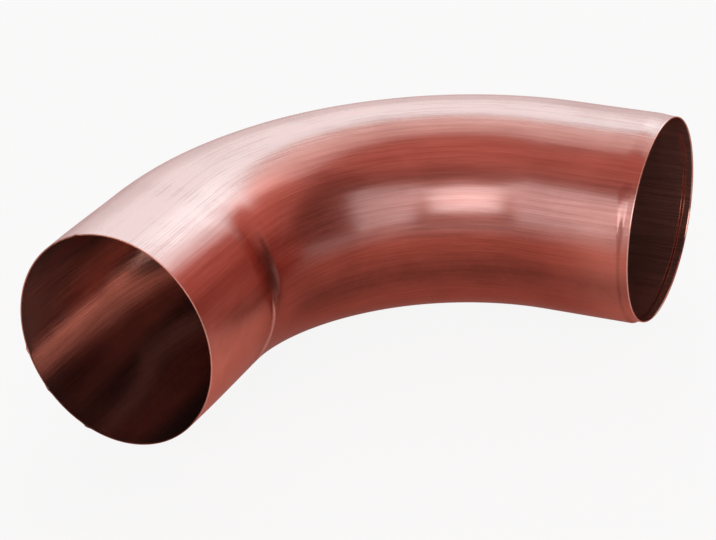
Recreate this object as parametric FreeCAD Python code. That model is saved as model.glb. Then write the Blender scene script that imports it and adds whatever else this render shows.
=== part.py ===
import FreeCAD, Part
import os
from math import hypot, radians, tan

V = FreeCAD.Vector

# pipe: outside radius of the bend and the spigot, and the sheet's thickness
PIPE_R = 50.0
WALL = 0.6

# bend: centre line radius and turn between the two legs
BEND_R = 133.9
BEND_TURN = 90.0

# socket leg: from the bend's end to the rim along the axis, starting with a taper
LEG = 63.5
TAPER = 16.0
SOCKET_CLEARANCE = 0.1
# the raw rim leans: longest at the throat, and longer below than above
SOCKET_LEAN_THROAT = 4.1
SOCKET_LEAN_UNDER = 1.9

# spigot leg: from the bend's end to the rim along the axis, ending in a necked lip
SPIGOT = 49.8
NECK = 1.5
LIP = 3.7
LIP_DROP = 1.25
# the lip and its rim lean together: longest at the throat, and longer above than below
SPIGOT_LEAN_THROAT = 2.0
SPIGOT_LEAN_TOP = 2.0

# crease: a crescent fold across the throat, where the socket leg runs into the bend
CREASE_AT = 5.5
CREASE_DEPTH = 1.0
CREASE_SET_BACK = 2.0
CREASE_BEND_SLOPE = 17.0
CREASE_RIM_SLOPE = 16.0
CREASE_REACH = 6.0

# how far the hollow runs on past each rim before it is cut away
OVERRUN = 12.0

# sizes that follow from those above
SOCKET_R = PIPE_R + SOCKET_CLEARANCE + WALL
LIP_R = PIPE_R - LIP_DROP
NECK_X = SPIGOT - LIP - NECK
SOCKET_IN = tan(radians(SOCKET_LEAN_THROAT))
SOCKET_UP = tan(radians(SOCKET_LEAN_UNDER))
SPIGOT_IN = tan(radians(SPIGOT_LEAN_THROAT))
SPIGOT_UP = tan(radians(SPIGOT_LEAN_TOP))

# the box around the elbow, whose middle at the underside is the origin
X_LOW = -BEND_R - SOCKET_R
X_HIGH = SPIGOT + LIP_R * hypot(SPIGOT_IN, SPIGOT_UP)
Y_LOW = -LEG - SOCKET_R * hypot(SOCKET_IN, SOCKET_UP)
Y_HIGH = BEND_R + PIPE_R
ORIGIN = V((X_LOW + X_HIGH) / 2, (Y_LOW + Y_HIGH) / 2, -SOCKET_R)

OUT_OF_SOCKET = V(0, -1, 0)
OUT_OF_SPIGOT = V(1, 0, 0)
UP = V(0, 0, 1)
BEND_AXIS = V(0, 0, 0)
SPIGOT_START = V(0, BEND_R, 0)


def past_plane(centre, normal):
    """A thick disc that takes away all that lies past a leaning plane."""
    return Part.makeCylinder(2 * SOCKET_R, 2 * SOCKET_R, centre, normal)


def bend(inset):
    """A quarter turn of round pipe, with its seam along the throat."""
    ring = Part.Circle(SPIGOT_START, OUT_OF_SPIGOT, PIPE_R - inset)
    ring.XAxis = OUT_OF_SOCKET
    return Part.Face(Part.Wire(ring.toShape())).revolve(BEND_AXIS, UP, BEND_TURN)


def taper(inset):
    """The start of the socket leg, which opens from the pipe's size to the socket's."""
    return Part.makeCone(PIPE_R - inset, SOCKET_R - inset, TAPER, V(-BEND_R, 0, 0), OUT_OF_SOCKET)


def socket(inset, overrun):
    """The straight socket, cut to its leaning rim or run on past it."""
    start = V(-BEND_R, -TAPER, 0)
    tube = Part.makeCylinder(SOCKET_R - inset, LEG - TAPER + OVERRUN, start, OUT_OF_SOCKET)
    if overrun:
        return tube
    return tube.cut(past_plane(V(-BEND_R, -LEG, 0), V(-SOCKET_IN, -1, SOCKET_UP)))


def spigot(inset):
    """The straight spigot as far as its leaning neck."""
    tube = Part.makeCylinder(PIPE_R - inset, SPIGOT, SPIGOT_START, OUT_OF_SPIGOT)
    return tube.cut(past_plane(V(NECK_X, BEND_R, 0), V(1, SPIGOT_IN, -SPIGOT_UP)))


def lip(inset, overrun):
    """The neck and lip, turned about the spigot's axis and then slid to lean."""
    far = NECK + LIP + (OVERRUN if overrun else 0)
    root = V(0, PIPE_R - inset, 0)
    foot = V(NECK, LIP_R - inset, 0)
    profile = Part.makePolygon([V(0, 0, 0), root, foot, V(far, LIP_R - inset, 0), V(far, 0, 0), V(0, 0, 0)])
    turned = Part.Face(profile).revolve(V(0, 0, 0), OUT_OF_SPIGOT, 360)
    lean = FreeCAD.Matrix(1, -SPIGOT_IN, SPIGOT_UP, NECK_X, 0, 1, 0, BEND_R, 0, 0, 1, 0, 0, 0, 0, 1)
    return turned.transformGeometry(lean)


def crease(inset):
    """A ring with a V edge, set back so that it bites into the throat only."""
    centre_x = -BEND_R - CREASE_SET_BACK
    tip_x = centre_x - (PIPE_R + CREASE_SET_BACK - CREASE_DEPTH - inset)
    bend_run = CREASE_REACH / tan(radians(CREASE_BEND_SLOPE))
    rim_run = CREASE_REACH / tan(radians(CREASE_RIM_SLOPE))
    tip = V(tip_x, -CREASE_AT, 0)
    to_bend = V(tip_x - CREASE_REACH, -CREASE_AT + bend_run, 0)
    to_rim = V(tip_x - CREASE_REACH, -CREASE_AT - rim_run, 0)
    edge = Part.makePolygon([tip, to_bend, to_rim, tip])
    return Part.Face(edge).revolve(V(centre_x, 0, 0), OUT_OF_SOCKET, 360)


def form(inset, overrun):
    """The elbow as a full body whose skin lies inset from the outer one."""
    pieces = [taper(inset), socket(inset, overrun), spigot(inset), lip(inset, overrun)]
    return bend(inset).fuse(pieces).cut(crease(inset))


elbow = form(0, False).cut(form(WALL, True))
elbow.translate(-ORIGIN)

os.makedirs("parts", exist_ok=True)
elbow.Solids[0].exportStep("parts/elbow_pipe.step")
print("solids", len(elbow.Solids), "valid", elbow.isValid(), "faces", len(elbow.Faces))
print("volume mm3", round(elbow.Volume, 1), "origin", [round(c, 4) for c in ORIGIN])
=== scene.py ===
"""A copper downspout elbow, dressed around its CAD frame and set in a plain studio."""
import logging
import math
from dataclasses import dataclass, field
from enum import Enum

import bpy
import numpy as np
from mathutils import Matrix, Vector, noise


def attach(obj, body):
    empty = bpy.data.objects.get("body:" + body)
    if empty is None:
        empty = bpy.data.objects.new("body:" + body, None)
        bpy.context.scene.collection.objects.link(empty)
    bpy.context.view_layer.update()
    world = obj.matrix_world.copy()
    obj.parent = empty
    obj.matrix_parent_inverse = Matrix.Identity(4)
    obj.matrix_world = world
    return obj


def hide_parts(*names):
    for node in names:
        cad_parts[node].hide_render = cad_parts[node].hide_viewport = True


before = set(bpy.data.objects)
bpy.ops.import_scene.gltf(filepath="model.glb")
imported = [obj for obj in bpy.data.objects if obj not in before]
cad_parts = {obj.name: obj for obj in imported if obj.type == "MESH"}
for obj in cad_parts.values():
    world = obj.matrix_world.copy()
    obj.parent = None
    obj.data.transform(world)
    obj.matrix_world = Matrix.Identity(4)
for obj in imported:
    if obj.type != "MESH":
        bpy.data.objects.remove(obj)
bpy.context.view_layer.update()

LOG = logging.getLogger("elbow")
MM = 0.001
IMAGE_WIDTH = 716

Colour = tuple[float, float, float, float]
Range = tuple[float, float]
Values = np.ndarray | float
Socket = bpy.types.NodeSocket


class Skin(Enum):
    """The surfaces of the one sheet of copper, in the order of their material slots."""

    OUTSIDE = 0
    BORE = 1
    RIM = 2


class Mark(Enum):
    """Painted shade, painted highlights and painted light, kept on the mesh as values from 0 to 1."""

    PAINTED_SHADE = "tarnish"
    PAINTED_HIGHLIGHT = "burnish"
    PAINTED_LIGHT = "blush"


class Datum(Enum):
    """Places along the centre line that marks are measured from."""

    BEND_START = "bend_start"
    NECK = "neck"
    SPIGOT_RIM = "spigot_rim"


class Glow(Enum):
    """Colours of the studio's lights."""

    WHITE = (1.0, 1.0, 1.0)
    COOL = (0.9, 1.0, 1.02)
    WARM = (1.0, 0.74, 0.68)
    COPPER = (1.0, 0.34, 0.27)


@dataclass(frozen=True)
class ElbowSizes:
    """The elbow's sizes in millimetres, and its leans as slopes, as the CAD model has them."""

    pipe_r: float = 50.0
    wall: float = 0.6
    bend_r: float = 133.9
    leg: float = 63.5
    taper: float = 16.0
    socket_clearance: float = 0.1
    socket_lean_throat: float = math.tan(math.radians(4.1))
    socket_lean_under: float = math.tan(math.radians(1.9))
    spigot: float = 49.8
    neck: float = 1.5
    lip: float = 3.7
    lip_drop: float = 1.25
    spigot_lean_throat: float = math.tan(math.radians(2.0))
    spigot_lean_top: float = math.tan(math.radians(2.0))
    crease_at: float = 5.5
    crease_depth: float = 1.0

    @property
    def socket_r(self) -> float:
        """Outside radius of the socket."""
        return self.pipe_r + self.socket_clearance + self.wall

    @property
    def lip_r(self) -> float:
        """Outside radius of the spigot's lip."""
        return self.pipe_r - self.lip_drop

    @property
    def arc(self) -> float:
        """Length of the bend's centre line."""
        return self.bend_r * math.pi / 2

    @property
    def run(self) -> float:
        """Length of the whole centre line, from rim to rim."""
        return self.leg + self.arc + self.spigot

    @property
    def crease_run(self) -> float:
        """Where along the centre line the crease lies."""
        return self.leg - self.crease_at

    @property
    def neck_run(self) -> float:
        """Where along the centre line the neck begins."""
        return self.run - self.lip - self.neck

    @property
    def origin(self) -> np.ndarray:
        """The middle of the underside of the elbow's box.

        Returns:
            The point in millimetres, seen from the bend's own centre.
        """
        spigot_reach = self.lip_r * math.hypot(self.spigot_lean_throat, self.spigot_lean_top)
        socket_reach = self.socket_r * math.hypot(self.socket_lean_throat, self.socket_lean_under)
        x_sum = -self.bend_r - self.socket_r + self.spigot + spigot_reach
        y_sum = -self.leg - socket_reach + self.bend_r + self.pipe_r
        return np.array([x_sum / 2, y_sum / 2, -self.socket_r])


def smooth_step(low: Values, high: Values, value: Values) -> Values:
    """A ramp from 0 to 1 that starts and ends level.

    Args:
        low: Value where the ramp starts.
        high: Value where the ramp ends.
        value: Values to place on the ramp.

    Returns:
        The ramp's height at each value.
    """
    t = np.clip((value - low) / (high - low), 0.0, 1.0)
    return t * t * (3.0 - 2.0 * t)


def bell(centre: float, width: Values, value: Values) -> Values:
    """A soft peak of height 1 that fades to nothing on both sides.

    Args:
        centre: Value at the peak.
        width: How far the peak spreads.
        value: Values to place on the peak.

    Returns:
        The peak's height at each value.
    """
    return np.exp(-(((value - centre) / width) ** 2))


def put_in_scene(name: str, data: bpy.types.ID) -> bpy.types.Object:
    """Makes an object and links it to the scene.

    Args:
        name: The object's name.
        data: The mesh, light or camera that it shows.

    Returns:
        The new object.
    """
    made = bpy.data.objects.new(name, data)
    bpy.context.scene.collection.objects.link(made)
    return made


@dataclass(frozen=True)
class Stretch:
    """A stretch of the tube with rings at an even step, both in millimetres."""

    end: float
    step: float


def spread(start: float, *stretches: Stretch) -> np.ndarray:
    """Ring positions along the tube.

    Args:
        start: Position of the first ring.
        stretches: The stretches, each from the end of the one before.

    Returns:
        All positions in order, without repeats.
    """
    out: list[float] = []
    for stretch in stretches:
        length = stretch.end - start
        count = max(1, round(length / stretch.step))
        out.extend(start + length * i / count for i in range(count))
        start = stretch.end
    out.append(start)
    return np.array(out)


@dataclass(frozen=True)
class Ring:
    """A ring of the closed sheet: its place along the run, its depth and the surface that starts there."""

    run: float
    inset: float
    skin: Skin


@dataclass(frozen=True)
class Dent:
    """A soft hollow or, with a negative depth, a soft swelling, with its turn in degrees from the throat."""

    run: float
    turn: float
    length: float
    width: float
    depth: float

    def depth_at(self, run: float, psi: np.ndarray, radius: float) -> np.ndarray:
        """Depth of the dent round one ring.

        Args:
            run: Distance along the centre line from the socket's rim.
            psi: Angles round the tube from the throat.
            radius: Radius of the tube.

        Returns:
            The depth at each angle in millimetres.
        """
        along = (run - self.run) / self.length
        across = (psi - math.radians(self.turn)) * radius / self.width
        return self.depth * np.exp(-along * along - across * across)


@dataclass(frozen=True)
class SawBurr:
    """A small burr that the saw left on the socket's rim, with its turn and width in degrees."""

    turn: float
    height: float
    width: float = 1.6
    reach: float = 1.6

    def height_at(self, run: float, psi: np.ndarray) -> np.ndarray:
        """Height of the burr at each angle of a ring, in millimetres."""
        near = max(0.0, 1.0 - run / self.reach)
        return near * self.height * bell(self.turn, self.width, np.degrees(psi))


@dataclass(frozen=True)
class ThroatFold:
    """The fold across the throat: a sharp step below that turns into a soft valley above.

    Lengths are in millimetres, and angles are in radians round the tube from the throat.
    """

    softens: Range = (math.radians(-10), math.radians(12))
    fades: Range = (math.radians(30), math.radians(66))
    widens: Range = (0.3, 0.9)
    soft_shift: float = 1.0
    rim_run: float = 5.0
    rim_run_soft: float = 6.0
    bend_run: float = 1.4
    bend_run_soft: float = 8.0
    bend_run_wide: float = 7.0
    deeper: float = 0.2
    deeper_soft: float = 0.15

    def depth_at(self, past: float, psi: np.ndarray, depth: float) -> np.ndarray:
        """Depth of the fold round one ring.

        Args:
            past: Distance from the crease along the centre line, positive towards the bend.
            psi: Angles round the tube from the throat, positive towards the top.
            depth: Depth of the crease in the CAD model.

        Returns:
            The depth at each angle in millimetres.
        """
        soft = smooth_step(*self.softens, psi)
        fade = 1.0 - smooth_step(*self.fades, np.abs(psi))
        wide = smooth_step(*self.widens, psi)
        beyond = past - self.soft_shift * soft
        to_bend = self.bend_run + self.bend_run_soft * soft + self.bend_run_wide * wide
        to_rim = self.rim_run + self.rim_run_soft * soft
        t = np.clip(np.abs(beyond) / np.where(beyond > 0, to_bend, to_rim), 0.0, 1.0)
        step = (1.0 - t) ** 2
        valley = 1.0 - smooth_step(0.0, 1.0, t)
        deep = depth + self.deeper + self.deeper_soft * soft
        return deep * fade * (step + (valley - step) * soft)


@dataclass(frozen=True)
class SpigotNeck:
    """The step down to the spigot's lip, softer and shallower towards the top of the tube.

    Lengths are in millimetres, and top gives the heights between which it changes, as shares of the radius.
    """

    top: Range = (0.2, 0.9)
    shallower: float = 0.5
    early: float = 0.6
    early_top: float = 4.0
    late: float = 0.4
    late_top: float = 1.6

    def depth_at(self, past: float, psi: np.ndarray, length: float, drop: float) -> np.ndarray:
        """Depth of the neck round one ring.

        Args:
            past: Distance along the centre line from the start of the neck.
            psi: Angles round the tube from the throat, positive towards the top.
            length: Length of the neck in the CAD model.
            drop: Depth of the neck in the CAD model.

        Returns:
            The depth at each angle in millimetres.
        """
        high = smooth_step(*self.top, np.sin(psi))
        start = -self.early - self.early_top * high
        end = length + self.late + self.late_top * high
        return drop * (1.0 - self.shallower * high) * smooth_step(start, end, past)


@dataclass(frozen=True)
class Fade:
    """A soft-edged stretch: it rises over one range of values and falls over another, where it has them."""

    rise: Range | None = None
    fall: Range | None = None

    def at(self, value: Values) -> Values:
        """Height of the stretch at each value.

        Args:
            value: Values to place on the stretch.

        Returns:
            The heights, from 0 to 1.
        """
        risen = smooth_step(*self.rise, value) if self.rise else 1.0
        fallen = smooth_step(*self.fall, value) if self.fall else 0.0
        return risen * (1.0 - fallen)


@dataclass(frozen=True)
class Peak:
    """A soft peak about one value."""

    centre: float
    width: float

    def at(self, value: Values) -> Values:
        """Height of the peak, from 0 to 1, at each value."""
        return bell(self.centre, self.width, value)


@dataclass(frozen=True)
class SheetMark:
    """A mark on the outside, placed along the tube in millimetres and round it in degrees."""

    kind: Mark
    strength: float
    along: Fade | Peak
    around: Fade | Peak
    datum: Datum = Datum.BEND_START
    sway: float = 0.0
    sway_length: float = 1.0

    def strength_at(self, past: float, turn: np.ndarray) -> np.ndarray:
        """Strength of the mark at each angle of a ring that lies past its datum."""
        swayed = turn - self.sway * math.sin(past / self.sway_length)
        return self.strength * self.along.at(past) * self.around.at(swayed)


SHEET_MARKS = (
    # painted shade in the fold across the throat
    SheetMark(Mark.PAINTED_SHADE, 0.95, Peak(-2.0, 5.8), Fade((-15.0, 10.0), (18.0, 46.0))),
    # a wavering band of painted shade along the dent, from the fold towards the socket's rim
    SheetMark(
        Mark.PAINTED_SHADE, 0.42, Fade((-58.0, -36.0), (-16.0, -4.0)), Peak(10.5, 5.5), sway=2.5, sway_length=11.0
    ),
    # painted shade at the foot of the crease
    SheetMark(Mark.PAINTED_SHADE, 0.4, Peak(-7.6, 1.3), Fade((-42.0, -25.0), (-2.0, 4.0))),
    # painted shade along the lower side of the bend's throat
    SheetMark(Mark.PAINTED_SHADE, 0.55, Fade(rise=(8.0, 40.0)), Peak(-17.0, 11.0)),
    # painted shade in the groove of the neck
    SheetMark(Mark.PAINTED_SHADE, 0.35, Peak(0.7, 0.8), Fade((-85.0, -55.0), (22.0, 40.0)), Datum.NECK),
    # painted reflected light beside the crease and at the spigot's end
    SheetMark(Mark.PAINTED_LIGHT, 1.0, Fade(fall=(-30.0, -3.0)), Fade((-110.0, -30.0), (-6.0, 36.0))),
    SheetMark(
        Mark.PAINTED_LIGHT, 0.45, Fade(rise=(-36.0, -4.0)), Fade((-80.0, -40.0), (8.0, 40.0)), Datum.SPIGOT_RIM
    ),
)


@dataclass(frozen=True)
class CreaseHighlight:
    """The painted highlight along the crease, which gets wider down the throat."""

    strength: float = 0.6
    place: float = -4.6
    width: float = 0.25
    wider: float = 0.25
    wider_from: Range = (-2.0, 12.0)
    widest: float = 0.8
    widest_from: Range = (16.0, 34.0)
    around: Fade = Fade((-58.0, -34.0), (-4.0, 3.0))

    def strength_at(self, past: float, turn: np.ndarray) -> np.ndarray:
        """Strength of the line round one ring.

        Args:
            past: Distance along the centre line from the start of the bend.
            turn: Angles round the tube from the throat, positive towards the top.

        Returns:
            The strength at each angle.
        """
        wider = self.wider * smooth_step(*self.wider_from, -turn)
        widest = self.widest * smooth_step(*self.widest_from, -turn)
        return self.strength * bell(self.place, self.width + wider + widest, past) * self.around.at(turn)


@dataclass(frozen=True)
class PaintedBoreShade:
    """Painted shade along the lower side of the bore, weaker towards the spigot."""

    strength: float = 0.94
    fainter: float = 0.7
    fading: Range = (120.0, 240.0)
    around: Fade = Fade((-158.0, -134.0), (-50.0, -15.0))

    def strength_at(self, run: float, turn: np.ndarray) -> np.ndarray:
        """Strength of the film at each angle of a ring."""
        thin = 1.0 - self.fainter * smooth_step(*self.fading, run)
        return self.strength * thin * self.around.at(turn)


@dataclass
class ElbowTube:
    """The elbow: a thin tube with a socket, a creased bend and a necked spigot, in one mesh."""

    sizes: ElbowSizes = field(default_factory=ElbowSizes)
    around: int = 240
    edge_round: float = 0.14
    edge_width: float = 0.45
    sharp_angle: float = 50.0
    lean_run: float = 40.0
    open_run: float = 50.0
    open_past: float = 6.0
    waviness: float = 0.06
    wave_length: float = 42.0
    fine_wave: float = 0.25
    fine_wave_length: float = 13.0
    fold: ThroatFold = ThroatFold()
    neck: SpigotNeck = SpigotNeck()
    crease_highlight: CreaseHighlight = CreaseHighlight()
    bore_shade: PaintedBoreShade = PaintedBoreShade()
    burrs: tuple[SawBurr, ...] = (
        SawBurr(turn=109.0, height=0.5),
        SawBurr(turn=-163.0, height=0.75),
        SawBurr(turn=-140.0, height=0.6),
        SawBurr(turn=-112.0, height=0.7),
    )
    dents: tuple[Dent, ...] = (
        Dent(run=36.0, turn=11.0, length=17.0, width=4.0, depth=0.3),
        Dent(run=42.0, turn=34.0, length=12.0, width=13.0, depth=-0.15),
    )

    def outer_stations(self) -> np.ndarray:
        """Ring positions on the outside, close together at the crease, neck and rims.

        Returns:
            Distances along the centre line from the socket's rim.
        """
        s = self.sizes
        return spread(
            self.edge_round,
            Stretch(end=1.5, step=0.45),
            Stretch(end=6.0, step=1.5),
            Stretch(end=s.leg - s.taper - 2, step=3.0),
            Stretch(end=s.crease_run - 7, step=1.0),
            Stretch(end=s.crease_run + 7, step=0.35),
            Stretch(end=s.leg + 12, step=1.2),
            Stretch(end=s.neck_run - 6, step=2.8),
            Stretch(end=s.neck_run - 1, step=0.7),
            Stretch(end=s.neck_run + s.neck + 1, step=0.22),
            Stretch(end=s.run - self.edge_round, step=0.5),
        )

    def inner_stations(self) -> np.ndarray:
        """Ring positions on the inside, a little wider apart.

        Returns:
            Distances along the centre line from the socket's rim.
        """
        s = self.sizes
        return spread(
            self.edge_round,
            Stretch(end=2.0, step=0.6),
            Stretch(end=s.crease_run - 7, step=4.0),
            Stretch(end=s.crease_run + 6, step=0.6),
            Stretch(end=s.leg + 12, step=1.8),
            Stretch(end=s.neck_run - 3, step=4.5),
            Stretch(end=s.neck_run + s.neck + 1, step=0.4),
            Stretch(end=s.run - self.edge_round, step=0.8),
        )

    def rings(self) -> list[Ring]:
        """Every ring of the closed sheet.

        Returns:
            The rings in order, out along the skin and back along the bore.
        """
        s, e = self.sizes, self.edge_round
        outside = [Ring(float(run), 0.0, Skin.OUTSIDE) for run in self.outer_stations()]
        inside = [Ring(float(run), s.wall, Skin.BORE) for run in self.inner_stations()[::-1]]
        outside[-1] = Ring(outside[-1].run, 0.0, Skin.RIM)
        inside[-1] = Ring(inside[-1].run, s.wall, Skin.RIM)
        spigot_rim = [Ring(s.run, e, Skin.RIM), Ring(s.run, s.wall - e, Skin.RIM)]
        socket_rim = [Ring(0.0, s.wall - e, Skin.RIM), Ring(0.0, e, Skin.RIM)]
        return outside + spigot_rim + inside + socket_rim

    def angles(self) -> np.ndarray:
        """Angles of the points of a ring, starting at the back."""
        return np.linspace(0.0, 2.0 * math.pi, self.around, endpoint=False) - math.pi

    def round_radius(self, run: float) -> float:
        """Radius of the outer skin before the crease is pressed in.

        Args:
            run: Distance along the centre line from the socket's rim.

        Returns:
            The radius in millimetres.
        """
        s = self.sizes
        grown = 1.0 - smooth_step(s.leg - self.open_run, s.leg + self.open_past, run)
        return float(s.pipe_r + (s.socket_r - s.pipe_r) * grown)

    def skin_radius(self, run: float, psi: np.ndarray) -> np.ndarray:
        """Radius of the outer skin round one ring, with its dents, burrs, fold and neck.

        Args:
            run: Distance along the centre line from the socket's rim.
            psi: Angles round the tube from the throat, positive towards the top.

        Returns:
            The radius at each angle in millimetres.
        """
        s = self.sizes
        skin = np.full_like(psi, self.round_radius(run))
        for dent in self.dents:
            skin -= dent.depth_at(run, psi, s.pipe_r)
        for burr in self.burrs:
            skin += burr.height_at(run, psi)
        skin -= self.fold.depth_at(run - s.crease_run, psi, s.crease_depth)
        skin -= self.neck.depth_at(run - s.neck_run, psi, s.neck, s.lip_drop)
        return skin

    def ripple(self, points: np.ndarray) -> np.ndarray:
        """Slight unevenness of the formed sheet.

        Args:
            points: Points of the sheet in millimetres.

        Returns:
            The height at each point in millimetres.
        """
        broad = np.array([noise.noise(Vector(p) / self.wave_length) for p in points])
        fine = np.array([noise.noise(Vector(p) / self.fine_wave_length) for p in points])
        return (broad + self.fine_wave * fine) * self.waviness

    def ring_points(self, run: float, inset: float) -> np.ndarray:
        """The points of one ring.

        Args:
            run: Distance along the centre line from the socket's rim.
            inset: Depth below the outer skin.

        Returns:
            Points in millimetres about the bend's centre, one row each.
        """
        s = self.sizes
        psi = self.angles()
        radius = self.skin_radius(run, psi) - inset
        inward, up = radius * np.cos(psi), radius * np.sin(psi)
        if run < s.leg:
            weight = float(np.clip(1.0 - run / self.lean_run, 0.0, 1.0))
            lean = -s.socket_lean_throat * inward + s.socket_lean_under * up
            points = np.stack([inward - s.bend_r, run - s.leg + weight * lean, up], 1)
        elif run < s.leg + s.arc:
            turn = (run - s.leg) / s.bend_r
            reach = s.bend_r - inward
            points = np.stack([-reach * math.cos(turn), reach * math.sin(turn), up], 1)
        else:
            along = run - s.leg - s.arc
            weight = float(np.clip(along / (s.spigot - s.lip - s.neck), 0.0, 1.0))
            lean = s.spigot_lean_throat * inward + s.spigot_lean_top * up
            points = np.stack([along + weight * lean, s.bend_r - inward, up], 1)
        outward = points - np.array([points[:, 0].mean(), points[:, 1].mean(), 0.0])
        outward /= np.linalg.norm(outward, axis=1)[:, None]
        return points + outward * self.ripple(points)[:, None]

    def faces(self, count: int) -> list[tuple[int, int, int, int]]:
        """Faces between each ring and the next, with the last ring joined to the first.

        Args:
            count: Number of rings.

        Returns:
            Four point numbers a face.
        """
        n = self.around
        out = []
        for k in range(count):
            here, there = k * n, ((k + 1) % count) * n
            for j in range(n):
                after = (j + 1) % n
                out.append((here + j, here + after, there + after, there + j))
        return out

    def sheet_map(self, plan: list[Ring]) -> np.ndarray:
        """UV places of every face corner, in metres along and round the tube.

        Args:
            plan: The rings in order.

        Returns:
            The places in one flat row, as the mesh's UV layer takes them.
        """
        step = 2.0 * math.pi * self.sizes.pipe_r * MM / self.around
        out: list[float] = []
        for ring, following in zip(plan, plan[1:] + plan[:1]):
            u0, u1 = ring.run * MM, following.run * MM
            for j in range(self.around):
                v0, v1 = j * step, (j + 1) * step
                out.extend((u0, v0, u0, v1, u1, v1, u1, v0))
        return np.array(out, np.float32)

    def start_of(self, datum: Datum) -> float:
        """Distance of a datum along the centre line from the socket's rim."""
        s = self.sizes
        return {Datum.BEND_START: s.leg, Datum.NECK: s.neck_run, Datum.SPIGOT_RIM: s.run}[datum]

    def outer_marks(self, run: float, psi: np.ndarray) -> dict[Mark, np.ndarray]:
        """Marks on the outside round one ring, with a painted highlight along both cut edges.

        Args:
            run: Distance along the centre line from the socket's rim.
            psi: Angles round the tube from the throat, positive towards the top.

        Returns:
            The strength of each mark at each angle.
        """
        s = self.sizes
        turn = np.degrees(psi)
        totals = {mark: np.zeros_like(psi) for mark in Mark}
        for mark in SHEET_MARKS:
            totals[mark.kind] += mark.strength_at(run - self.start_of(mark.datum), turn)
        from_edge = min(run, s.run - run) - self.edge_round
        # painted highlight along both cut edges, then along the crease
        totals[Mark.PAINTED_HIGHLIGHT] += max(0.0, 1.0 - from_edge / self.edge_width)
        totals[Mark.PAINTED_HIGHLIGHT] += self.crease_highlight.strength_at(run - s.leg, turn)
        return {mark: np.clip(total, 0.0, 1.0) for mark, total in totals.items()}

    def inner_marks(self, run: float, psi: np.ndarray) -> dict[Mark, np.ndarray]:
        """Painted shade on the bore and the rims round one ring.

        Args:
            run: Distance along the centre line from the socket's rim.
            psi: Angles round the tube from the throat, positive towards the top.

        Returns:
            The strength of each mark at each angle.
        """
        none = np.zeros_like(psi)
        # painted shade along the bore's lower side
        bore_shade = self.bore_shade.strength_at(run, np.degrees(psi))
        return {Mark.PAINTED_SHADE: bore_shade, Mark.PAINTED_HIGHLIGHT: none, Mark.PAINTED_LIGHT: none}

    def write_marks(self, mesh: bpy.types.Mesh, plan: list[Ring]) -> None:
        """Stores the marks on the mesh.

        Args:
            mesh: The elbow's mesh.
            plan: Its rings in order.
        """
        psi = self.angles()
        rows = []
        for ring in plan:
            marks = self.inner_marks if ring.inset else self.outer_marks
            rows.append(marks(ring.run, psi))
        for mark in Mark:
            layer = mesh.attributes.new(mark.value, "FLOAT", "POINT")
            values = np.concatenate([row[mark] for row in rows])
            layer.data.foreach_set("value", values.astype(np.float32))

    def build(self) -> bpy.types.Object:
        """Makes the mesh, with its UV map, surfaces and marks.

        Returns:
            The elbow's object, in the CAD frame.
        """
        plan = self.rings()
        points = np.vstack([self.ring_points(ring.run, ring.inset) for ring in plan])
        points = (points - self.sizes.origin) * MM
        mesh = bpy.data.meshes.new("elbow_tube")
        mesh.from_pydata(points.tolist(), [], self.faces(len(plan)))
        layer = mesh.uv_layers.new(name="Sheet")
        layer.uv.foreach_set("vector", self.sheet_map(plan))
        slots = np.repeat([ring.skin.value for ring in plan], self.around)
        mesh.polygons.foreach_set("material_index", slots.astype(np.int32))
        self.write_marks(mesh, plan)
        mesh.polygons.foreach_set("use_smooth", np.ones(len(mesh.polygons), bool))
        mesh.set_sharp_from_angle(angle=math.radians(self.sharp_angle))
        mesh.update()
        return put_in_scene("elbow_tube", mesh)

    def dress(self, tube: bpy.types.Object, finishes: dict[Skin, bpy.types.Material]) -> None:
        """Gives each surface its finish and puts the tube in the CAD node's place.

        Args:
            tube: The elbow's object.
            finishes: The material of each surface.
        """
        for skin in Skin:
            tube.data.materials.append(finishes[skin])
        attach(tube, "root")
        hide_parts("elbow_pipe")


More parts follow.
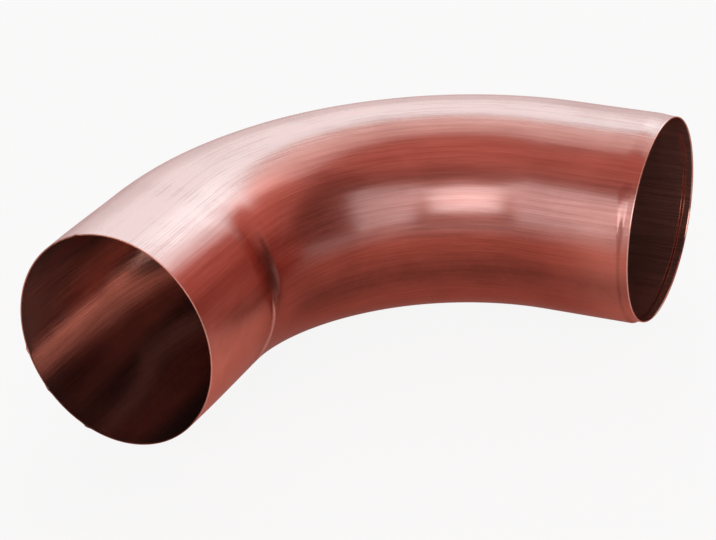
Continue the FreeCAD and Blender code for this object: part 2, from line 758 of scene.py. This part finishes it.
class NodeSheet:
    """A short way to place and join shader nodes in one tree."""

    def __init__(self, tree: bpy.types.NodeTree) -> None:
        """Starts with a node tree to fill."""
        self.tree = tree

    @classmethod
    def cleared(cls, owner: bpy.types.Material | bpy.types.World) -> "NodeSheet":
        """Opens an empty sheet on a material or a world.

        Args:
            owner: What the nodes belong to.

        Returns:
            The sheet.
        """
        owner.use_nodes = True
        owner.node_tree.nodes.clear()
        return cls(owner.node_tree)

    def feed(self, socket: Socket, value: object) -> None:
        """Sets an input.

        Args:
            socket: The input.
            value: A number or colour to set on it, or an output socket to join to it.
        """
        if isinstance(value, Socket):
            self.tree.links.new(value, socket)
        else:
            socket.default_value = value

    def add(self, kind: str, values: dict | None = None, **settings: object) -> bpy.types.Node:
        """Places a node.

        Args:
            kind: Blender's name for the node type.
            values: Numbers, colours or output sockets for the inputs, by name or index.
            settings: Attributes to set on the node.

        Returns:
            The new node.
        """
        node = self.tree.nodes.new(kind)
        for name, value in settings.items():
            setattr(node, name, value)
        for name, value in (values or {}).items():
            self.feed(node.inputs[name], value)
        return node

    def math(self, operation: str, first: object, second: object, clamp: bool = False) -> Socket:
        """Joins two values by arithmetic and returns the result's socket."""
        values = {0: first, 1: second}
        return self.add("ShaderNodeMath", values, operation=operation, use_clamp=clamp).outputs[0]

    def times(self, first: object, second: object) -> Socket:
        """Multiplies two values and returns the result's socket."""
        return self.math("MULTIPLY", first, second)

    def ramp(self, value: object, span: Range, to: Range = (0.0, 1.0)) -> Socket:
        """Maps a value smoothly from one range to another and returns the result's socket."""
        values = {"Value": value, "From Min": span[0], "From Max": span[1], "To Min": to[0], "To Max": to[1]}
        return self.add("ShaderNodeMapRange", values, interpolation_type="SMOOTHSTEP").outputs["Result"]

    def mix(self, factor: object, first: object, second: object) -> Socket:
        """Mixes two colours.

        Args:
            factor: The share of the second colour.
            first: The first colour.
            second: The second colour.

        Returns:
            The result's socket.
        """
        node = self.add("ShaderNodeMix", data_type="RGBA")
        colours = [socket for socket in node.inputs if socket.type == "RGBA"]
        for socket, value in zip([node.inputs[0], *colours], [factor, first, second]):
            self.feed(socket, value)
        return next(socket for socket in node.outputs if socket.type == "RGBA")

    def noise(self, place: object, scale: object, **values: float) -> Socket:
        """Places a noise texture and returns the socket of its values."""
        return self.add("ShaderNodeTexNoise", {"Vector": place, "Scale": scale, **values}).outputs[0]

    def mark(self, mark: Mark) -> Socket:
        """Reads one of the elbow's marks from the mesh."""
        return self.add("ShaderNodeAttribute", attribute_name=mark.value).outputs["Fac"]


class EffectGroups:
    """Shader node groups for the marks that the elbow's finishes share."""

    noise_span: Range = (0.32, 0.68)
    patch_span: Range = (0.3, 0.7)
    speckle_span: Range = (0.35, 0.7)
    streak_scale: float = 0.3
    speckle_finer: float = 11.0

    def __init__(self) -> None:
        """Builds each group once."""
        self.grain = self.make_grain()
        self.clouds = self.make_clouds()

    @staticmethod
    def start(name: str, inputs: dict[str, str], outputs: list[str]) -> tuple[NodeSheet, bpy.types.Node]:
        """Opens a new group.

        Args:
            name: The group's name.
            inputs: Socket type of each input, by name.
            outputs: Names of the outputs, which are values.

        Returns:
            The group's sheet and its input node.
        """
        tree = bpy.data.node_groups.new(name, "ShaderNodeTree")
        for label, kind in inputs.items():
            tree.interface.new_socket(name=label, in_out="INPUT", socket_type=kind)
        for label in outputs:
            tree.interface.new_socket(name=label, in_out="OUTPUT", socket_type="NodeSocketFloat")
        sheet = NodeSheet(tree)
        return sheet, sheet.add("NodeGroupInput")

    def make_grain(self) -> bpy.types.NodeTree:
        """Fine lines drawn along the sheet: thin hair lines and broader streaks, each from 0 to 1.

        Returns:
            The group's tree.
        """
        inputs = {"Vector": "NodeSocketVector", "Along": "NodeSocketFloat", "Across": "NodeSocketFloat"}
        sheet, given = self.start("drawn_grain", inputs, ["Hair", "Streak"])
        sizes = {"X": given.outputs["Along"], "Y": given.outputs["Across"], "Z": 1.0}
        stretch = sheet.add("ShaderNodeCombineXYZ", sizes).outputs[0]
        factors = {0: given.outputs["Vector"], 1: stretch}
        place = sheet.add("ShaderNodeVectorMath", factors, operation="MULTIPLY").outputs[0]
        hair = sheet.noise(place, 1.0, Detail=3.0, Roughness=0.65)
        streak = sheet.noise(place, self.streak_scale, Detail=4.0, Roughness=0.6)
        sheet.add("NodeGroupOutput", {
            "Hair": sheet.ramp(hair, self.noise_span),
            "Streak": sheet.ramp(streak, self.noise_span),
        })
        return sheet.tree

    def make_clouds(self) -> bpy.types.NodeTree:
        """Soft patches of uneven tone, large and small.

        Returns:
            The group's tree.
        """
        inputs = {"Vector": "NodeSocketVector", "Scale": "NodeSocketFloat"}
        sheet, given = self.start("tarnish_clouds", inputs, ["Patch", "Speckle"])
        place, scale = given.outputs["Vector"], given.outputs["Scale"]
        patch = sheet.noise(place, scale, Detail=4.0, Roughness=0.55, Distortion=0.4)
        speckle = sheet.noise(place, sheet.times(scale, self.speckle_finer), Detail=3.0, Roughness=0.6)
        sheet.add("NodeGroupOutput", {
            "Patch": sheet.ramp(patch, self.patch_span),
            "Speckle": sheet.ramp(speckle, self.speckle_span),
        })
        return sheet.tree


@dataclass(frozen=True)
class Gloss:
    """The clear gloss over the copper: face for sides that face the eye, edge for slanted tops."""

    face: float = 0.2
    edge: float = 1.0
    rough: float = 0.22
    ior: float = 5.5
    face_left: float = 0.3
    face_span: Range = (0.15, 0.5)
    face_up: Range = (0.02, 0.3)
    edge_span: Range = (0.12, 0.5)
    edge_up: Range = (0.67, 0.93)
    clean_span: Range = (0.12, 0.72)
    clean: Range = (0.72, 1.1)

    def weight(self, sheet: NodeSheet, blend: Socket, dark: Socket) -> Socket:
        """How strong the gloss is over the surface, less on streaky copper and under the painted shade.

        Args:
            sheet: The material's sheet.
            blend: The streaks and patches of the copper.
            dark: The painted shade.

        Returns:
            The socket of the weight.
        """
        facing = sheet.add("ShaderNodeLayerWeight", {"Blend": 0.5}).outputs["Facing"]
        normal = sheet.add("ShaderNodeNewGeometry").outputs["Normal"]
        upward = sheet.add("ShaderNodeSeparateXYZ", {0: normal}).outputs["Z"]
        front = sheet.ramp(facing, self.face_span, (self.face, self.face_left * self.face))
        sides = sheet.times(front, sheet.ramp(upward, self.face_up))
        slant = sheet.ramp(facing, self.edge_span, (0.0, self.edge))
        tops = sheet.times(slant, sheet.ramp(upward, self.edge_up))
        # less gloss under the painted shade
        unshaded = sheet.math("SUBTRACT", 1.0, dark)
        clean = sheet.times(sheet.ramp(blend, self.clean_span, self.clean), unshaded)
        return sheet.math("MULTIPLY", sheet.math("ADD", sides, tops), clean, clamp=True)


@dataclass(frozen=True)
class CopperFinish:
    """One finish of the copper sheet: its colours, gloss and marks."""

    name: str
    deep: Colour
    bright: Colour
    edge_tint: Colour = (1.0, 0.45, 0.37, 1.0)
    # colour of the painted shade laid into the fold, the dent, the crease's foot, the neck's groove, under
    # the throat and in the bore
    tarnish: Colour = (0.09, 0.022, 0.016, 1.0)
    # colour of the painted highlights along the crease and the cut edges
    burnish: Colour = (0.95, 0.54, 0.47, 1.0)
    # colour of the painted reflected light on the collar and the spigot's end, and how patchy it is
    blush: Colour = (0.84, 0.29, 0.215, 1.0)
    painted_light_patches: Range = (0.6, 1.0)
    # how dark the painted shade gets at full strength
    shade_depth: float = 0.95
    patchiness: float = 0.25
    mottle_span: Range = (0.0, 0.7)
    mottle_speckle: float = 0.35
    mottle_patch: float = 0.45
    blend_hair: float = 0.34
    blend_streak: float = 0.26
    blend_patch: float = 0.3
    cloud_scale: float = 20.0
    grain_along: float = 30.0
    grain_across: float = 1700.0
    bump: float = 0.2
    bump_depth: float = 0.0001
    bump_streak: float = 0.3
    metallic: float = 0.6
    ior: float = 1.45
    rough_span: Range = (0.1, 0.6)
    rough: Range = (0.22, 0.31)
    gloss: Gloss = Gloss()

    def colour(self, sheet: NodeSheet, blend: Socket, patch: Socket, dark: Socket) -> Socket:
        """Colour of the copper with its painted shade, painted highlights and painted light.

        Args:
            sheet: The material's sheet.
            blend: The streaks and patches of the copper.
            patch: The large patches alone.
            dark: The painted shade.

        Returns:
            The socket of the colour.
        """
        drawn = sheet.mix(blend, self.deep, self.bright)
        # painted reflected light, broken into patches
        painted_light_share = sheet.times(sheet.mark(Mark.PAINTED_LIGHT), sheet.ramp(patch, (0.0, 1.0), self.painted_light_patches))
        lightened = sheet.mix(painted_light_share, drawn, self.blush)
        # painted shade darkens the copper
        shaded = sheet.mix(dark, lightened, self.tarnish)
        # painted highlights laid over the rest
        return sheet.mix(sheet.mark(Mark.PAINTED_HIGHLIGHT), shaded, self.burnish)

    def material(self, groups: EffectGroups) -> bpy.types.Material:
        """Builds the finish as a node material.

        Args:
            groups: The shared effects.

        Returns:
            The material.
        """
        made = bpy.data.materials.new(self.name)
        sheet = NodeSheet.cleared(made)
        coords = sheet.add("ShaderNodeTexCoord").outputs
        drawing = {"Vector": coords["UV"], "Along": self.grain_along, "Across": self.grain_across}
        grain = sheet.add("ShaderNodeGroup", drawing, node_tree=groups.grain).outputs
        tarnishing = {"Vector": coords["Object"], "Scale": self.cloud_scale}
        clouds = sheet.add("ShaderNodeGroup", tarnishing, node_tree=groups.clouds).outputs
        hair, streak, patch = grain["Hair"], grain["Streak"], clouds["Patch"]
        lines = sheet.math("ADD", sheet.times(hair, self.blend_hair), sheet.times(streak, self.blend_streak))
        blend = sheet.math("ADD", lines, sheet.times(patch, self.blend_patch), clamp=True)
        speckle = sheet.times(clouds["Speckle"], self.mottle_speckle)
        mottle = sheet.math("ADD", speckle, sheet.times(patch, self.mottle_patch))
        uneven = sheet.ramp(mottle, self.mottle_span, (self.shade_depth, self.shade_depth - self.patchiness))
        # painted shade, made uneven by the mottle
        dark = sheet.times(sheet.mark(Mark.PAINTED_SHADE), uneven)
        height = sheet.math("ADD", hair, sheet.times(streak, self.bump_streak))
        relief = {"Strength": self.bump, "Distance": self.bump_depth, "Height": height}
        shader = sheet.add("ShaderNodeBsdfPrincipled", {
            "Base Color": self.colour(sheet, blend, patch, dark),
            "Metallic": self.metallic,
            "Roughness": sheet.ramp(lines, self.rough_span, self.rough),
            "IOR": self.ior,
            "Specular Tint": self.edge_tint,
            "Normal": sheet.add("ShaderNodeBump", relief).outputs[0],
            "Coat Weight": self.gloss.weight(sheet, blend, dark),
            "Coat Roughness": self.gloss.rough,
            "Coat IOR": self.gloss.ior,
        })
        sheet.add("ShaderNodeOutputMaterial", {"Surface": shader.outputs[0]})
        return made


FINISHES = {
    Skin.OUTSIDE: CopperFinish(
        "drawn_copper",
        deep=(0.33, 0.066, 0.044, 1.0),
        bright=(0.62, 0.136, 0.094, 1.0),
        metallic=0.66,
        rough=(0.28, 0.36),
        gloss=Gloss(face=0.38),
    ),
    Skin.BORE: CopperFinish(
        "copper_bore",
        deep=(0.36, 0.178, 0.143, 1.0),
        bright=(0.98, 0.53, 0.435, 1.0),
        edge_tint=(0.8, 0.6, 0.55, 1.0),
        # colour of the painted shade inside the bore
        tarnish=(0.075, 0.048, 0.046, 1.0),
        patchiness=0.03,
        bump=0.12,
        metallic=0.85,
        rough=(0.09, 0.15),
        gloss=Gloss(face=0.0, edge=0.1, ior=1.6),
    ),
    Skin.RIM: CopperFinish(
        "cut_rim",
        deep=(0.4, 0.13, 0.09, 1.0),
        bright=(0.66, 0.27, 0.2, 1.0),
        grain_along=900.0,
        grain_across=900.0,
        metallic=0.8,
        gloss=Gloss(face=0.1, edge=0.3, ior=1.6),
    ),
}


@dataclass(frozen=True)
class SoftBox:
    """A rectangular studio light, placed by direction from the elbow.

    at gives its azimuth and elevation in degrees and its distance in metres, and size its width and height.
    """

    name: str
    at: tuple[float, float, float]
    size: tuple[float, float]
    radiance: float
    glow: Glow = Glow.WHITE

    def build(self, aim: Vector) -> bpy.types.Object:
        """Makes the light and turns it to the elbow.

        Args:
            aim: The point that it faces.

        Returns:
            The light's object.
        """
        azimuth, elevation, distance = self.at
        width, height = self.size
        a, e = math.radians(azimuth), math.radians(elevation)
        away = Vector((math.sin(a) * math.cos(e), -math.cos(a) * math.cos(e), math.sin(e)))
        lamp = bpy.data.lights.new(self.name, "AREA")
        lamp.shape = "RECTANGLE"
        lamp.size, lamp.size_y = width, height
        lamp.energy = self.radiance * math.pi * width * height
        lamp.color = self.glow.value
        box = put_in_scene(self.name, lamp)
        box.location = aim + away * distance
        box.rotation_mode = "QUATERNION"
        box.rotation_quaternion = (-away).to_track_quat("-Z", "Y")
        box.visible_camera = False
        return box


@dataclass
class Studio:
    """A pale floor, a plain surround and soft boxes."""

    aim: Vector = field(default_factory=lambda: Vector((0.0, 0.0, 0.05)))
    floor_half: float = 12.0
    floor_drop: float = 0.0004
    floor_grey: float = 0.68
    floor_rough: float = 0.45
    floor_ior: float = 1.5
    floor_glow_seen: float = 0.9
    floor_glow_mirrored: float = 0.28
    white: Colour = (1.0, 1.0, 1.0, 1.0)
    ambient: Colour = (1.0, 0.55, 0.48, 1.0)
    surround: float = 0.08
    surround_mirrored: float = 0.08
    boxes: tuple[SoftBox, ...] = (
        SoftBox("window_left", at=(-33.0, 22.0, 1.9), size=(1.3, 1.5), radiance=1.25),
        SoftBox("window_middle", at=(13.5, 25.0, 1.9), size=(1.35, 0.95), radiance=2.45),
        SoftBox("window_right", at=(59.5, 22.0, 1.9), size=(1.25, 1.4), radiance=1.0),
        SoftBox("ceiling", at=(20.0, 80.0, 1.8), size=(2.0, 1.2), radiance=0.6, glow=Glow.COPPER),
        SoftBox("right_back", at=(138.0, 34.0, 1.9), size=(1.15, 1.4), radiance=0.6, glow=Glow.COPPER),
        SoftBox("back", at=(197.0, 32.0, 1.7), size=(2.4, 1.1), radiance=1.36, glow=Glow.COOL),
        SoftBox("back_low", at=(212.0, 5.0, 1.9), size=(2.0, 0.55), radiance=0.95, glow=Glow.COOL),
        SoftBox("back_top", at=(197.0, 65.0, 1.8), size=(2.3, 0.85), radiance=1.0, glow=Glow.WARM),
        SoftBox("back_side", at=(176.0, 35.0, 1.95), size=(1.05, 0.8), radiance=0.36, glow=Glow.COOL),
    )

    def floor_material(self) -> bpy.types.Material:
        """A pale matt floor that glows where it is seen directly or mirrored.

        Returns:
            The material.
        """
        made = bpy.data.materials.new("pale_floor")
        sheet = NodeSheet.cleared(made)
        grey = (self.floor_grey, self.floor_grey, self.floor_grey, 1.0)
        looks = {"Base Color": grey, "Roughness": self.floor_rough, "IOR": self.floor_ior}
        matt = sheet.add("ShaderNodeBsdfPrincipled", looks)
        glow = sheet.add("ShaderNodeEmission", {"Color": self.white, "Strength": 1.0})
        path = sheet.add("ShaderNodeLightPath").outputs
        seen = sheet.times(path["Is Camera Ray"], self.floor_glow_seen)
        other = sheet.math("MAXIMUM", path["Is Glossy Ray"], path["Is Transmission Ray"])
        factor = sheet.math("MAXIMUM", seen, sheet.times(other, self.floor_glow_mirrored))
        mixed = sheet.add("ShaderNodeMixShader", {0: factor, 1: matt.outputs[0], 2: glow.outputs[0]})
        sheet.add("ShaderNodeOutputMaterial", {"Surface": mixed.outputs[0]})
        return made

    def floor(self) -> bpy.types.Object:
        """Makes the floor, which shows pale and keeps the elbow's shadow.

        Returns:
            The floor's object.
        """
        h = self.floor_half
        mesh = bpy.data.meshes.new("studio_floor")
        mesh.from_pydata([(-h, -h, 0), (h, -h, 0), (h, h, 0), (-h, h, 0)], [], [(0, 1, 2, 3)])
        mesh.materials.append(self.floor_material())
        floor = put_in_scene("studio_floor", mesh)
        floor.location.z = -self.floor_drop
        return floor

    def world(self) -> None:
        """Sets the plain surround, white where the camera sees it."""
        world = bpy.data.worlds.new("studio_surround")
        sheet = NodeSheet.cleared(world)
        path = sheet.add("ShaderNodeLightPath").outputs
        other = sheet.math("MAXIMUM", path["Is Glossy Ray"], path["Is Transmission Ray"])
        mirrored = sheet.times(other, self.surround_mirrored)
        seen = sheet.math("MAXIMUM", path["Is Camera Ray"], mirrored)
        strength = sheet.math("MAXIMUM", seen, self.surround)
        tint = sheet.mix(path["Is Camera Ray"], self.ambient, self.white)
        sky = sheet.add("ShaderNodeBackground", {"Color": tint, "Strength": strength})
        sheet.add("ShaderNodeOutputWorld", {"Surface": sky.outputs[0]})
        bpy.context.scene.world = world

    def build(self) -> None:
        """Builds the floor, surround and lights."""
        self.floor()
        self.world()
        for box in self.boxes:
            box.build(self.aim)
            LOG.info("light %s", box.name)


@dataclass(frozen=True)
class PhotoCamera:
    """The camera at the photograph's place, in metres, with its focal length in pixels."""

    place: tuple[float, float, float] = (0.56975, -1.13836, 0.66774)
    right: tuple[float, float, float] = (0.90156, 0.42998, -0.04814)
    down: tuple[float, float, float] = (0.15147, -0.41788, -0.89579)
    forward: tuple[float, float, float] = (-0.40528, 0.80031, -0.44187)
    focal_pixels: float = 3036.41
    sensor_width: float = 36.0
    nearest: float = 0.05
    farthest: float = 60.0

    def build(self) -> bpy.types.Object:
        """Makes the camera and sets it as the scene's.

        Returns:
            The camera's object.
        """
        lens = bpy.data.cameras.new("photo_camera")
        lens.sensor_fit = "HORIZONTAL"
        lens.sensor_width = self.sensor_width
        lens.lens = self.focal_pixels * self.sensor_width / IMAGE_WIDTH
        lens.clip_start, lens.clip_end = self.nearest, self.farthest
        camera = put_in_scene("photo_camera", lens)
        x, y, z = Vector(self.right), -Vector(self.down), -Vector(self.forward)
        turn = Matrix((x, y, z)).transposed().to_4x4()
        camera.matrix_world = Matrix.Translation(self.place) @ turn
        bpy.context.scene.camera = camera
        return camera


def main() -> None:
    """Builds the elbow, its finishes, the studio and the camera in order."""
    logging.basicConfig(level=logging.INFO, format="%(name)s: %(message)s")
    bpy.context.scene.view_settings.view_transform = "Standard"
    groups = EffectGroups()
    finishes = {skin: finish.material(groups) for skin, finish in FINISHES.items()}
    elbow = ElbowTube()
    tube = elbow.build()
    elbow.dress(tube, finishes)
    LOG.info("piece %s with %d faces", tube.name, len(tube.data.polygons))
    Studio().build()
    PhotoCamera().build()


if __name__ == "__main__":
    main()
